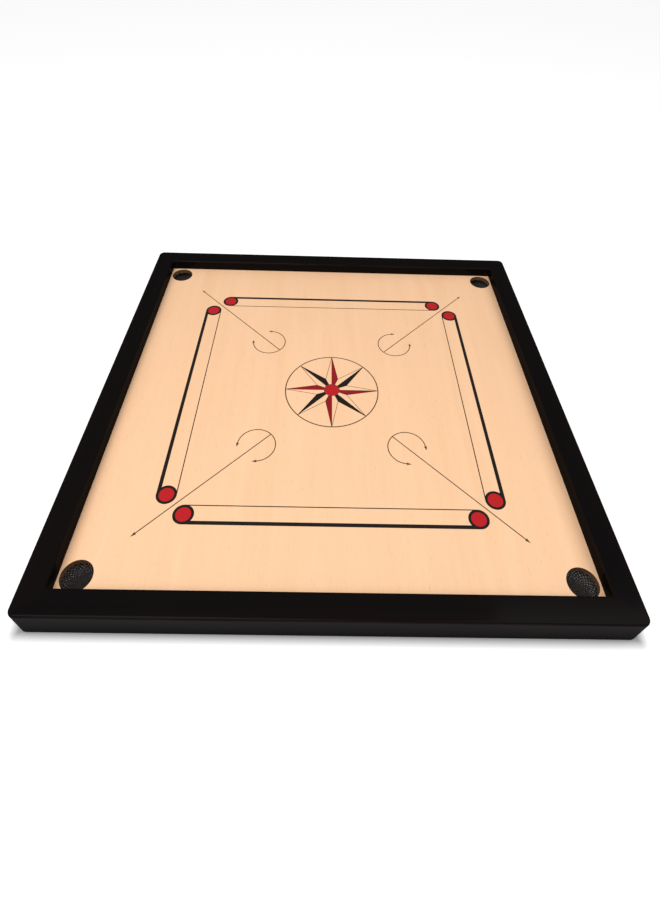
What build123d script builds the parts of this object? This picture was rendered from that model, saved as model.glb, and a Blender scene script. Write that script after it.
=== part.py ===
from build123d import *
import os

# A carrom board: a square frame of four mitred rails round a plywood playing panel, with a corner pocket
# and a net at each corner and a grid of battens below. Lengths are in mm. +Z is up and Z = 0 is the frame's
# underside, the front rail is on -Y and the right rail on +X, and the origin is under the board's centre.

# ---------------------------------------------------------------- driving dimensions
PLAY_SIDE = 740.0            # playing surface, rail face to rail face
RAIL_WIDTH = 36.4            # rail, inner top edge to outer face
RAIL_HEIGHT = 50.0           # rail, underside to top
RAIL_ABOVE_BED = 22.0        # rail's top above the playing surface
REBATE_WIDTH = 12.0          # ledge over the panel's edge
CORNER_RADIUS = 11.0         # frame's outer corners, seen from above
TOP_EDGE_RADIUS = 3.5        # rails' outer top edge
INNER_EDGE_RADIUS = 2.5      # rails' inner top edge
BOTTOM_EDGE_RADIUS = 1.5     # rails' outer bottom edge

PANEL_THICKNESS = 9.0
PANEL_GAP = 0.5              # panel's edge to the rebate's wall
POCKET_DIAMETER = 44.5
POCKET_CENTRE_FROM_RAIL = 25.0

DOWEL_DIAMETER = 6.0
DOWEL_LENGTH = 20.0
DOWEL_HEIGHTS = (12.0, 37.0)  # above the frame's underside
DOWEL_GAP = 0.05              # dowel to its hole, all round

BATTEN_WIDTH = 30.0
BATTEN_HEIGHT = 16.0
BATTEN_OFFSET = 185.0        # batten's centre line to the board's centre line
BATTEN_END_GAP = 0.4         # batten's end to the rail
LAP_GAP = 0.2                # each side of a half lap

SCREW_DIAMETER = 3.5
SCREW_HEAD_DIAMETER = 7.0
SCREW_HEAD_RIM = 0.3
SCREW_HEAD_HEIGHT = 2.3
SCREW_POINT = 4.0
SCREW_RECESS = (0.9, 3.8, 1.5)  # cross recess: slot width, slot length, depth
SCREW_GAP = 0.05                # screw to its hole, all round
PANEL_SCREW_LENGTH = 22.0
PANEL_SCREW_PITCH = 135.0
PANEL_SCREWS_A_SIDE = 5
BATTEN_SCREW_LENGTH = 22.0
BATTEN_SCREW_INSET = 82.0    # outermost batten screw to the panel's edge
BATTEN_SCREW_INNER = 75.0    # inner batten screw to the board's centre line

CORD_RADIUS = 1.5            # rim cord of a pocket net, half its thickness
CORD_RING_RADIUS = 28.0      # rim cord's centre line
CORD_GAP = 0.15              # cord to panel, net, tack head and tack shank
NET_WALL = 1.2
NET_NECK_DEPTH = 4.6         # straight neck below the net's top edge
NET_BELLY_RADIUS = 31.0
NET_FLOOR_RADIUS = 23.0
NET_FLOOR_HEIGHT = 1.0       # net's lowest face above the frame's underside
TACKS_A_POCKET = 8
TACK_DIAMETER = 1.6
TACK_HEAD_DIAMETER = 5.0
TACK_HEAD_HEIGHT = 1.1
TACK_GRIP = 6.0              # tack's shank inside the panel

# ---------------------------------------------------------------- places that follow from them
HALF_PLAY = PLAY_SIDE / 2
HALF_OUTER = HALF_PLAY + RAIL_WIDTH
HALF_REBATE = HALF_PLAY + REBATE_WIDTH
HALF_PANEL = HALF_REBATE - PANEL_GAP
BED_TOP = RAIL_HEIGHT - RAIL_ABOVE_BED
BED_UNDERSIDE = BED_TOP - PANEL_THICKNESS
POCKET_OFFSET = HALF_PLAY - POCKET_CENTRE_FROM_RAIL
BATTEN_UNDERSIDE = BED_UNDERSIDE - BATTEN_HEIGHT
CORD_HEIGHT = BED_UNDERSIDE - CORD_GAP - CORD_RADIUS
NET_NECK_RADIUS = CORD_RING_RADIUS - CORD_RADIUS - CORD_GAP
NET_TOP = BED_UNDERSIDE - CORD_GAP
TACK_RING_RADIUS = CORD_RING_RADIUS + CORD_RADIUS + CORD_GAP + TACK_DIAMETER / 2
TACK_HEAD_TOP = CORD_HEIGHT - CORD_RADIUS - CORD_GAP

SIDES = {"front": 0, "right": 90, "back": 180, "left": 270}  # turn about Z from the front rail, degrees
CORNERS = {"front_left": (-1, -1), "front_right": (1, -1), "back_right": (1, 1), "back_left": (-1, 1)}
POCKETS = {name: (POCKET_OFFSET * x, POCKET_OFFSET * y) for name, (x, y) in CORNERS.items()}


def block(low, high):
    """A box from its lowest to its highest corner."""
    size = [b - a for a, b in zip(low, high)]
    return Pos(*low) * Box(*size, align=(Align.MIN, Align.MIN, Align.MIN))


def square_block(half_side, bottom, top):
    """A square block about the Z axis."""
    return block((-half_side, -half_side, bottom), (half_side, half_side, top))


def turned(points):
    """A solid of revolution about Z from the corners of its outline, given as (radius, height)."""
    outline = make_face(Plane.XZ * Polyline(*points, close=True))
    return revolve(outline, Axis.Z)


# ---------------------------------------------------------------- fasteners
def screw_shape(length, gap=0.0):
    """A countersunk screw pointing up from its head's face at Z = 0, or its hole when a gap is given."""
    head = SCREW_HEAD_DIAMETER / 2 + gap
    shank = SCREW_DIAMETER / 2 + gap
    return turned([(0, 0), (head, 0), (head, SCREW_HEAD_RIM), (shank, SCREW_HEAD_HEIGHT),
                   (shank, length - SCREW_POINT), (0, length + gap)])


def screw(length):
    """A countersunk screw with a cross recess."""
    width, span, depth = SCREW_RECESS
    cross = Box(width, span, 2 * depth) + Box(span, width, 2 * depth)
    return screw_shape(length) - cross


def panel_screw_places():
    """Screws through the panel's edge into the rails' ledges."""
    middle = (PANEL_SCREWS_A_SIDE - 1) / 2
    line = HALF_PLAY + REBATE_WIDTH / 2
    for turn in SIDES.values():
        for number in range(PANEL_SCREWS_A_SIDE):
            along = (number - middle) * PANEL_SCREW_PITCH
            yield Rot(0, 0, turn) * Pos(along, -line, BED_UNDERSIDE)


def batten_screw_places():
    """Screws through the battens into the panel, with one through each half lap."""
    outer = HALF_PANEL - BATTEN_SCREW_INSET
    for turn in SIDES.values():
        for along in (-outer, -BATTEN_SCREW_INNER, BATTEN_SCREW_INNER, outer, BATTEN_OFFSET):
            yield Rot(0, 0, turn) * Pos(along, -BATTEN_OFFSET, BATTEN_UNDERSIDE)


def tack_places():
    """Tacks round each pocket's rim cord, each at its head's top face."""
    for x, y in POCKETS.values():
        for number in range(TACKS_A_POCKET):
            turn = (number + 0.5) * 360 / TACKS_A_POCKET
            yield Pos(x, y, TACK_HEAD_TOP) * Rot(0, 0, turn) * Pos(TACK_RING_RADIUS, 0, 0)


def tack_shank(gap=0.0):
    """A tack's shank, pointing up from its head's top face, or its hole when a gap is given."""
    radius = TACK_DIAMETER / 2 + gap
    length = BED_UNDERSIDE - TACK_HEAD_TOP + TACK_GRIP
    return turned([(0, 0), (radius, 0), (radius, length - TACK_DIAMETER), (0, length + gap)])


def tack():
    """A round-headed tack, with its head's domed face downwards."""
    head = TACK_HEAD_DIAMETER / 2
    shank = TACK_DIAMETER / 2
    length = BED_UNDERSIDE - TACK_HEAD_TOP + TACK_GRIP
    bottom = (0, -TACK_HEAD_HEIGHT)
    dome = ThreePointArc(bottom, (head * 0.62, -TACK_HEAD_HEIGHT * 0.72), (head, 0))
    shaft = Polyline((head, 0), (shank, 0), (shank, length - TACK_DIAMETER), (0, length), bottom)
    return revolve(make_face(Plane.XZ * (dome + shaft)), Axis.Z)


def dowel_places():
    """Dowels across each mitre, midway between the rebate's wall and the rail's outer face."""
    middle = (HALF_REBATE + HALF_OUTER) / 2
    for x, y in CORNERS.values():
        for height in DOWEL_HEIGHTS:
            along = 45 if x * y < 0 else -45  # square to the mitre
            yield Pos(x * middle, y * middle, height) * Rot(0, 0, along) * Rot(0, 90, 0)


def dowel(gap=0.0):
    """A dowel, or its hole when a gap is given."""
    return Cylinder(DOWEL_DIAMETER / 2 + gap, DOWEL_LENGTH + 2 * gap)


# ---------------------------------------------------------------- frame and panel
def frame_ring():
    """The whole frame before it is parted at the mitres."""
    ring = extrude(RectangleRounded(2 * HALF_OUTER, 2 * HALF_OUTER, CORNER_RADIUS), amount=RAIL_HEIGHT)
    top_edges = ring.edges().group_by(Axis.Z)[-1]
    ring = fillet(top_edges, TOP_EDGE_RADIUS)
    bottom_edges = ring.edges().group_by(Axis.Z)[0]
    ring = fillet(bottom_edges, BOTTOM_EDGE_RADIUS)
    ring -= square_block(HALF_PLAY, 0, RAIL_HEIGHT)
    ring -= square_block(HALF_REBATE, 0, BED_TOP)
    inner_edges = ring.edges().filter_by(GeomType.LINE).group_by(Axis.Z)[-1].group_by(SortBy.LENGTH)[0]
    return fillet(inner_edges, INNER_EDGE_RADIUS)


def rails():
    """The four rails, parted along the frame's diagonals and bored for their dowels and screws."""
    ring = frame_ring()
    ring -= [place * dowel(DOWEL_GAP) for place in dowel_places()]
    ring -= [place * screw_shape(PANEL_SCREW_LENGTH, SCREW_GAP) for place in panel_screw_places()]
    edge = HALF_OUTER
    wedge = extrude(make_face(Polyline((0, 0), (-edge, -edge), (edge, -edge), close=True)), amount=RAIL_HEIGHT)
    return {f"rail_{side}": ring & (Rot(0, 0, turn) * wedge) for side, turn in SIDES.items()}


def playing_panel():
    """The plywood bed, with its pockets and its fasteners' holes."""
    panel = square_block(HALF_PANEL, BED_UNDERSIDE, BED_TOP)
    panel -= [Pos(x, y, BED_TOP) * Cylinder(POCKET_DIAMETER / 2, 4 * PANEL_THICKNESS)
              for x, y in POCKETS.values()]
    panel -= [place * screw_shape(PANEL_SCREW_LENGTH, SCREW_GAP) for place in panel_screw_places()]
    panel -= [place * screw_shape(BATTEN_SCREW_LENGTH, SCREW_GAP) for place in batten_screw_places()]
    return panel - [place * tack_shank(SCREW_GAP) for place in tack_places()]


def battens():
    """Two battens each way, half lapped where they cross."""
    half_length = HALF_REBATE - BATTEN_END_GAP
    half_notch = BATTEN_WIDTH / 2 + LAP_GAP
    middle = BED_UNDERSIDE - BATTEN_HEIGHT / 2
    holes = [place * screw_shape(BATTEN_SCREW_LENGTH, SCREW_GAP) for place in batten_screw_places()]
    made = {}
    for side, turn in SIDES.items():
        low = (-half_length, -BATTEN_OFFSET - BATTEN_WIDTH / 2, BATTEN_UNDERSIDE)
        high = (half_length, -BATTEN_OFFSET + BATTEN_WIDTH / 2, BED_UNDERSIDE)
        notch_is_low = side in ("front", "back")
        bottom, top = (BATTEN_UNDERSIDE, middle) if notch_is_low else (middle, BED_UNDERSIDE)
        batten = block(low, high)
        for x in (-BATTEN_OFFSET, BATTEN_OFFSET):
            batten -= block((x - half_notch, low[1], bottom), (x + half_notch, high[1], top))
        made[f"batten_{side}"] = Rot(0, 0, turn) * batten - holes
    return made


# ---------------------------------------------------------------- pocket nets
def net_bag():
    """A squat pocket net as a thin open bag, with a straight neck and a rounded belly."""
    def half_outline(inset):
        neck = NET_NECK_RADIUS - inset
        shoulder = NET_TOP - NET_NECK_DEPTH
        floor = NET_FLOOR_HEIGHT + inset
        belly = (NET_BELLY_RADIUS - inset, (shoulder + floor) / 2)
        return (Line((neck, NET_TOP), (neck, shoulder))
                + ThreePointArc((neck, shoulder), belly, (NET_FLOOR_RADIUS, floor))
                + Line((NET_FLOOR_RADIUS, floor), (0, floor)))
    outline = half_outline(0) + half_outline(NET_WALL)
    outline += Line((NET_NECK_RADIUS - NET_WALL, NET_TOP), (NET_NECK_RADIUS, NET_TOP))
    outline += Line((0, NET_FLOOR_HEIGHT), (0, NET_FLOOR_HEIGHT + NET_WALL))
    return revolve(make_face(Plane.XZ * outline), Axis.Z)


def pocket_parts():
    """A net and its rim cord for each pocket."""
    made = {}
    for corner, (x, y) in POCKETS.items():
        made[f"net_{corner}"] = Pos(x, y, 0) * net_bag()
        made[f"rim_cord_{corner}"] = Pos(x, y, CORD_HEIGHT) * Torus(CORD_RING_RADIUS, CORD_RADIUS)
    return made


def group(places, shape):
    """One compound of a separate copy of a shape at each place."""
    return Compound(children=[place * shape for place in places])


nodes = {
    **rails(),
    "playing_panel": playing_panel(),
    **battens(),
    **pocket_parts(),
    "mitre_dowels": group(dowel_places(), dowel()),
    "panel_screws": group(panel_screw_places(), screw(PANEL_SCREW_LENGTH)),
    "batten_screws": group(batten_screw_places(), screw(BATTEN_SCREW_LENGTH)),
    "net_tacks": group(tack_places(), tack()),
}

os.makedirs("parts", exist_ok=True)
for name, shape in nodes.items():
    export_step(shape, f"parts/{name}.step")
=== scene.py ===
"""The looks of a carrom board: its lacquers, printed markings, pocket nets, light and camera.

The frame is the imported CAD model, in metres, and every piece made here rides on its one body.
"""
from __future__ import annotations

import logging
import math
import random
from dataclasses import dataclass, field
from enum import Enum
from typing import Iterable, Sequence

import bmesh
import bpy
from mathutils import Matrix, Vector


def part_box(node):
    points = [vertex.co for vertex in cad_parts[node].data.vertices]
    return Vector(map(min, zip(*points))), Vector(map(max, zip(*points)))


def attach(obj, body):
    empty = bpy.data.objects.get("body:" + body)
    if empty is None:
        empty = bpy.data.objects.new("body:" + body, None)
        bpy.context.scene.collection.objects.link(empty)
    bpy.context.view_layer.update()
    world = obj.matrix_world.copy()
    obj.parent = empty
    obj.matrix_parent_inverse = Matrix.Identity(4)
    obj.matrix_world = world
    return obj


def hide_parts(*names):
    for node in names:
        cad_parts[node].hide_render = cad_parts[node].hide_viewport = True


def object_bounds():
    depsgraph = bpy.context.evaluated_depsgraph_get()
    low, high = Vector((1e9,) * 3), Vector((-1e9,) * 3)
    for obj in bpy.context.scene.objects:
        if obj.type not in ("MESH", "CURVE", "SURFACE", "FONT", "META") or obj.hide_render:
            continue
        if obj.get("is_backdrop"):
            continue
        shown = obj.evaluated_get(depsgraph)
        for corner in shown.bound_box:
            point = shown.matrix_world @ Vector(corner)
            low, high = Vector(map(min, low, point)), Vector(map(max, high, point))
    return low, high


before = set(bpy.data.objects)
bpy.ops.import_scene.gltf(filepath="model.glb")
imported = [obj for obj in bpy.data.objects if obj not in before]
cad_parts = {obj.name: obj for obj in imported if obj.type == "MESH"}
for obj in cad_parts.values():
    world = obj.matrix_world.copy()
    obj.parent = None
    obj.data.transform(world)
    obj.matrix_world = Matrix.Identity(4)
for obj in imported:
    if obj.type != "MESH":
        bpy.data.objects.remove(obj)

LOG = logging.getLogger("carrom_board")
MM = 0.001
TURN = 2 * math.pi
BODY = "root"
SEED = 11
CORNERS = ("front_left", "front_right", "back_right", "back_left")
SIDES = ("front", "right", "back", "left")
FLOAT = "NodeSocketFloat"
VECTOR = "NodeSocketVector"
WHITE = (1.0, 1.0, 1.0)

Point = tuple[float, float]
Colour = tuple[float, float, float]
Socket = bpy.types.NodeSocket
NodeTree = bpy.types.NodeTree
Object = bpy.types.Object
Material = bpy.types.Material


# ---------------------------------------------------------------- node trees
class Graph:
    """Adds nodes to one node tree and joins their sockets."""

    def __init__(self, tree: NodeTree) -> None:
        """Takes the tree to build in.

        Args:
            tree: a shader or geometry node tree.
        """
        self.tree = tree

    def feed(self, socket: Socket, value: object) -> None:
        """Joins another socket to a socket, or gives it a constant.

        Args:
            socket: the input to set.
            value: another socket, a number, a vector or a colour.
        """
        if isinstance(value, bpy.types.NodeSocket):
            self.tree.links.new(value, socket)
        elif socket.type == "RGBA":
            socket.default_value = (*value[:3], 1.0)
        else:
            socket.default_value = value

    def add(self, kind: str, inputs: dict | None = None, **settings: object) -> bpy.types.Node:
        """Adds one node.

        Args:
            kind: the node's type name.
            inputs: values or sockets for its inputs, by name or index.
            settings: its other properties.

        Returns:
            The node.
        """
        node = self.tree.nodes.new(kind)
        for key, value in settings.items():
            setattr(node, key, value)
        for key, value in (inputs or {}).items():
            self.feed(node.inputs[key], value)
        return node

    def math(self, operation: str, a: object, b: object = 0.0) -> Socket:
        """Joins two numbers with a Math node's operation."""
        return self.add("ShaderNodeMath", {0: a, 1: b}, operation=operation).outputs[0]

    def times(self, a: object, b: object) -> Socket:
        """The product of two numbers."""
        return self.math("MULTIPLY", a, b)

    def plus(self, a: object, b: object) -> Socket:
        """The sum of two numbers."""
        return self.math("ADD", a, b)

    def minus(self, a: object, b: object) -> Socket:
        """The first number less the second."""
        return self.math("SUBTRACT", a, b)

    def away(self, a: object, b: object) -> Socket:
        """How far apart two numbers are."""
        return self.math("ABSOLUTE", self.minus(a, b))

    def vectors(self, operation: str, **inputs: object) -> bpy.types.Node:
        """Adds a Vector Math node.

        Args:
            operation: the node's operation.
            inputs: its inputs, named a, b and Scale.

        Returns:
            The node.
        """
        keys = {"a": 0, "b": 1}
        named = {keys.get(key, key): value for key, value in inputs.items()}
        return self.add("ShaderNodeVectorMath", named, operation=operation)

    def ramp(self, value: object, low: float, high: float, to_low: float = 0.0, to_high: float = 1.0,
             smooth: bool = False) -> Socket:
        """Maps a stretch of values to another one, held at its ends.

        Args:
            value: the number or socket to map.
            low: where the stretch starts.
            high: where it ends.
            to_low: what low becomes.
            to_high: what high becomes.
            smooth: whether to ease in and out.

        Returns:
            The result's socket.
        """
        names = {"Value": value, "From Min": low, "From Max": high, "To Min": to_low, "To Max": to_high}
        kind = "SMOOTHSTEP" if smooth else "LINEAR"
        return self.add("ShaderNodeMapRange", names, interpolation_type=kind).outputs["Result"]

    def mix(self, factor: object, a: object, b: object) -> Socket:
        """Mixes two colours.

        Args:
            factor: how much of the second, 0 to 1.
            a: the first colour or socket.
            b: the second.

        Returns:
            The mixed colour's socket.
        """
        node = self.add("ShaderNodeMix", data_type="RGBA")
        for name, value in (("Factor_Float", factor), ("A_Color", a), ("B_Color", b)):
            self.feed(next(s for s in node.inputs if s.identifier == name), value)
        return next(s for s in node.outputs if s.identifier == "Result_Color")

    def tint(self, colour: object, mask: Socket, share: float, other: object) -> Socket:
        """Mixes a share of another colour into one where a mask is 1."""
        return self.mix(self.times(mask, share), colour, other)

    def spot(self) -> Socket:
        """Object coordinates."""
        return self.add("ShaderNodeTexCoord").outputs["Object"]

    def noise(self, vector: Socket, scale: object, detail: float, **more: object) -> Socket:
        """Noise of about 0 to 1, with the node's other inputs by name."""
        inputs = {"Vector": vector, "Scale": scale, "Detail": detail, **more}
        return self.add("ShaderNodeTexNoise", inputs).outputs[0]

    def group(self, tree: NodeTree, vector: Socket, **values: float) -> Sequence[Socket]:
        """Places a shared shader group.

        Args:
            tree: the group.
            vector: the coordinates that it reads.
            values: its other inputs, with underscores for spaces.

        Returns:
            Its outputs, by name.
        """
        node = self.add("ShaderNodeGroup", node_tree=tree)
        for key, value in {"Vector": vector, **values}.items():
            self.feed(node.inputs[key.replace("_", " ")], value)
        return node.outputs


def new_tree(name: str, kind: str, inputs: Sequence[tuple], outputs: Sequence[tuple]) -> tuple[Graph, dict]:
    """Starts a node group with named sockets.

    Args:
        name: the group's name.
        kind: the tree's type.
        inputs: each input's name, socket type and default, or None.
        outputs: each output's name and socket type.

    Returns:
        The graph, and its group input's sockets by name.
    """
    tree = bpy.data.node_groups.new(name, kind)
    for label, socket_type, default in inputs:
        socket = tree.interface.new_socket(label, in_out="INPUT", socket_type=socket_type)
        if default is not None:
            socket.default_value = default
    for label, socket_type in outputs:
        tree.interface.new_socket(label, in_out="OUTPUT", socket_type=socket_type)
    graph = Graph(tree)
    source = graph.add("NodeGroupInput")
    return graph, {label: source.outputs[label] for label, _, _ in inputs}


def wood_figure_group() -> NodeTree:
    """Wood grain along the vector's X axis.

    Returns:
        A shader group that puts out the broad figure, the fine fibres and the short pores, each 0 to 1.
    """
    graph, given = new_tree(
        "Wood figure", "ShaderNodeTree",
        [("Vector", VECTOR, None), ("Figure scale", FLOAT, 16.0), ("Fibre scale", FLOAT, 520.0),
         ("Stretch", FLOAT, 14.0), ("Warp", FLOAT, 1.2)],
        [("Figure", FLOAT), ("Fibre", FLOAT), ("Pores", FLOAT)])

    def drawn(scale: object, stretch: object, detail: float, warp: object) -> Socket:
        """Noise that is drawn out along the grain.

        Args:
            scale: how fine it is across the grain.
            stretch: how many times longer it is along the grain.
            detail: the noise's detail.
            warp: how far it is distorted.

        Returns:
            The noise's socket.
        """
        lengthwise = graph.math("DIVIDE", scale, stretch)
        factors = graph.add("ShaderNodeCombineXYZ", {0: lengthwise, 1: scale, 2: scale}).outputs[0]
        place = graph.vectors("MULTIPLY", a=given["Vector"], b=factors).outputs[0]
        return graph.noise(place, 1.0, detail, Roughness=0.55, Distortion=warp)

    long_stretch = graph.times(given["Stretch"], 4.0)
    pore_scale = graph.times(given["Fibre scale"], 1.6)
    figure = graph.ramp(drawn(given["Figure scale"], given["Stretch"], 4.0, given["Warp"]), 0.3, 0.7)
    fibre = graph.ramp(drawn(given["Fibre scale"], long_stretch, 3.0, 0.0), 0.28, 0.72)
    pores = graph.ramp(drawn(pore_scale, given["Stretch"], 1.0, 0.2), 0.66, 0.74, smooth=True)
    graph.add("NodeGroupOutput", {"Figure": figure, "Fibre": fibre, "Pores": pores})
    return graph.tree


def speckle_group() -> NodeTree:
    """Sparse specks of dust and short scuffs.

    Returns:
        A shader group that puts out a Specks mask, a Scuffs mask and a slow Cloud, each 0 to 1.
    """
    graph, given = new_tree(
        "Specks and scuffs", "ShaderNodeTree",
        [("Vector", VECTOR, None), ("Speck scale", FLOAT, 700.0), ("Scuff scale", FLOAT, 60.0)],
        [("Specks", FLOAT), ("Scuffs", FLOAT), ("Cloud", FLOAT)])
    cells = graph.add("ShaderNodeTexVoronoi", {"Vector": given["Vector"], "Scale": given["Speck scale"]})
    near = graph.ramp(cells.outputs["Distance"], 0.10, 0.02)
    pick = graph.add("ShaderNodeSeparateColor", {0: cells.outputs["Color"]}).outputs[0]
    specks = graph.times(near, graph.ramp(pick, 0.86, 0.9))
    turned = graph.add("ShaderNodeVectorRotate", {"Vector": given["Vector"], "Angle": 0.6}).outputs[0]
    drawn = graph.vectors("MULTIPLY", a=turned, b=(1.0, 14.0, 14.0)).outputs[0]
    streaks = graph.noise(drawn, given["Scuff scale"], 2.0)
    patches = graph.noise(given["Vector"], 9.0, 2.0)
    scuffs = graph.times(graph.ramp(streaks, 0.66, 0.74), graph.ramp(patches, 0.48, 0.62))
    cloud = graph.ramp(patches, 0.3, 0.7)
    graph.add("NodeGroupOutput", {"Specks": specks, "Scuffs": scuffs, "Cloud": cloud})
    return graph.tree


GROUPS: dict[str, NodeTree] = {}


def shared(name: str) -> NodeTree:
    """Finds a shader group that more than one finish uses, and builds it the first time.

    Args:
        name: "wood" or "specks".

    Returns:
        The group.
    """
    makers = {"wood": wood_figure_group, "specks": speckle_group}
    if name not in GROUPS:
        GROUPS[name] = makers[name]()
    return GROUPS[name]


# ---------------------------------------------------------------- finishes
class Grain(Enum):
    """The way a piece's grain runs, as a turn about Z in radians."""

    ALONG_X = 0.0
    ALONG_Y = math.pi / 2


class Finish:
    """What the finishes share: a material with a Principled shader and its coordinates."""

    name: str

    def start(self, **values: object) -> tuple[Graph, bpy.types.Node, Material]:
        """Makes the material.

        Args:
            values: the Principled shader's constant inputs, with underscores for spaces.

        Returns:
            The material's graph, its Principled node and the material.
        """
        material = bpy.data.materials.new(self.name)
        material.use_nodes = True
        graph = Graph(material.node_tree)
        shader = material.node_tree.nodes["Principled BSDF"]
        for key, value in values.items():
            graph.feed(shader.inputs[key.replace("_", " ")], value)
        return graph, shader, material

    @staticmethod
    def place(graph: Graph, grain: Grain) -> Socket:
        """Object coordinates, turned so that the grain lies along X."""
        turn = (0.0, 0.0, grain.value)
        return graph.add("ShaderNodeMapping", {"Vector": graph.spot(), "Rotation": turn}).outputs[0]

    @staticmethod
    def paint(graph: Graph, shader: bpy.types.Node, colour: Socket, rough: Socket) -> None:
        """Joins a colour and a roughness to the shader."""
        graph.feed(shader.inputs["Base Color"], colour)
        graph.feed(shader.inputs["Roughness"], rough)

    @staticmethod
    def bump(graph: Graph, shader: bpy.types.Node, height: Socket, depth: float) -> None:
        """Raises the surface by a height of 0 to 1, times a depth in metres."""
        node = graph.add("ShaderNodeBump", {"Height": height, "Distance": depth, "Strength": 1.0})
        graph.feed(shader.inputs["Normal"], node.outputs[0])


@dataclass(frozen=True)
class BlackLacquer(Finish):
    """Black gloss lacquer on hardwood, thin at the edges and with its mitres' hairlines."""

    grain: Grain
    half_outer: float
    half_inner: float
    top: float
    name: str = "black_lacquer"
    body: Colour = (0.0035, 0.0030, 0.0032)
    thin: Colour = (0.020, 0.010, 0.006)
    dust: Colour = (0.220, 0.210, 0.200)
    edge_width: float = 2.2 * MM
    mitre_width: float = 0.22 * MM
    edge_share: float = 0.70
    figure_share: float = 0.14
    mitre_share: float = 0.80
    dust_share: float = 0.25
    relief: float = 0.035 * MM

    def material(self) -> Material:
        """Builds the lacquer.

        Returns:
            The material.
        """
        graph, shader, material = self.start(Specular_IOR_Level=0.0, Coat_Weight=0.075, Coat_Roughness=0.12)
        spot = graph.spot()
        wood = graph.group(shared("wood"), self.place(graph, self.grain), Stretch=22.0)
        specks = graph.group(shared("specks"), spot)
        x, y, z = graph.add("ShaderNodeSeparateXYZ", {0: spot}).outputs
        reach_x, reach_y = graph.math("ABSOLUTE", x), graph.math("ABSOLUTE", y)
        reach = graph.math("MAXIMUM", reach_x, reach_y)
        level = graph.ramp(z, self.top - 2 * self.edge_width, self.top - self.edge_width)
        outer, inner = (graph.away(reach, place) for place in (self.half_outer, self.half_inner))
        nearest = graph.math("MINIMUM", outer, inner)
        edge = graph.times(graph.ramp(nearest, self.edge_width, 0.0, smooth=True), level)
        edge = graph.times(edge, specks["Cloud"])
        mitre = graph.ramp(graph.away(reach_x, reach_y), self.mitre_width, 0.0, smooth=True)
        colour = graph.tint(self.body, edge, self.edge_share, self.thin)
        colour = graph.tint(colour, wood["Figure"], self.figure_share, self.thin)
        colour = graph.tint(colour, mitre, self.mitre_share, self.thin)
        colour = graph.tint(colour, specks["Specks"], self.dust_share, self.dust)
        rough = graph.ramp(specks["Cloud"], 0.0, 1.0, 0.16, 0.24)
        self.paint(graph, shader, colour, graph.plus(rough, graph.times(specks["Scuffs"], 0.22)))
        height = graph.plus(graph.times(wood["Figure"], 0.8), graph.times(wood["Fibre"], 0.3))
        self.bump(graph, shader, graph.minus(height, graph.times(mitre, 3.0)), self.relief)
        return material


@dataclass(frozen=True)
class Plywood(Finish):
    """A plywood panel: lacquered on top, with dark brown plies at its cut edges and a plain underside."""

    bed_top: float
    thickness: float
    name: str = "playing_plywood"
    light: Colour = (0.950, 0.605, 0.375)
    warm: Colour = (0.820, 0.485, 0.265)
    fleck: Colour = (0.560, 0.310, 0.150)
    under: Colour = (0.620, 0.420, 0.240)
    ply_light: Colour = (0.230, 0.120, 0.055)
    ply_dark: Colour = (0.060, 0.028, 0.013)
    plies: int = 7
    veneer: float = 0.2 * MM
    figure_share: float = 0.40
    streak_share: float = 0.22
    fibre_share: float = 0.16
    pore_share: float = 0.28
    under_figure_share: float = 0.60
    under_fibre_share: float = 0.35
    ply_fibre_share: float = 0.30
    bare_roughness: float = 0.35
    relief: float = 0.02 * MM

    def material(self) -> Material:
        """Builds the plywood.

        Returns:
            The material.
        """
        graph, shader, material = self.start(Specular_IOR_Level=0.16, Coat_Weight=0.05, Coat_Roughness=0.25)
        grain = self.place(graph, Grain.ALONG_Y)
        wood = graph.group(shared("wood"), grain, Figure_scale=11.0, Fibre_scale=420.0, Stretch=9.0,
                           Warp=1.6)
        streaks = graph.group(shared("wood"), grain, Figure_scale=75.0, Fibre_scale=900.0, Stretch=20.0,
                              Warp=0.6)
        z = graph.add("ShaderNodeSeparateXYZ", {0: graph.spot()}).outputs[2]
        depth = graph.minus(self.bed_top, z)
        top = graph.ramp(depth, self.veneer, 0.5 * self.veneer)
        cut = graph.ramp(depth, self.thickness - 0.5 * self.veneer, self.thickness - self.veneer)
        face = graph.tint(self.light, wood["Figure"], self.figure_share, self.warm)
        face = graph.tint(face, streaks["Figure"], self.streak_share, self.warm)
        face = graph.tint(face, wood["Fibre"], self.fibre_share, self.warm)
        face = graph.tint(face, wood["Pores"], self.pore_share, self.fleck)
        back = graph.tint(self.under, wood["Figure"], self.under_figure_share, self.fleck)
        back = graph.tint(back, wood["Fibre"], self.under_fibre_share, self.fleck)
        # The cut edges, which show as the pocket holes' walls, are coloured dark brown, darker and lighter
        # ply by ply.
        layer = graph.math("PINGPONG", graph.times(depth, self.plies / self.thickness), 1.0)
        edge = graph.mix(graph.ramp(layer, 0.35, 0.65, smooth=True), self.ply_light, self.ply_dark)
        edge = graph.tint(edge, wood["Fibre"], self.ply_fibre_share, self.ply_dark)
        colour = graph.mix(top, graph.mix(cut, back, edge), face)
        bare = graph.ramp(top, 1.0, 0.0, 0.0, self.bare_roughness)
        self.paint(graph, shader, colour, graph.plus(graph.ramp(wood["Fibre"], 0.0, 1.0, 0.30, 0.38), bare))
        self.bump(graph, shader, graph.minus(graph.times(wood["Fibre"], 0.5), wood["Pores"]), self.relief)
        return material


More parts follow.
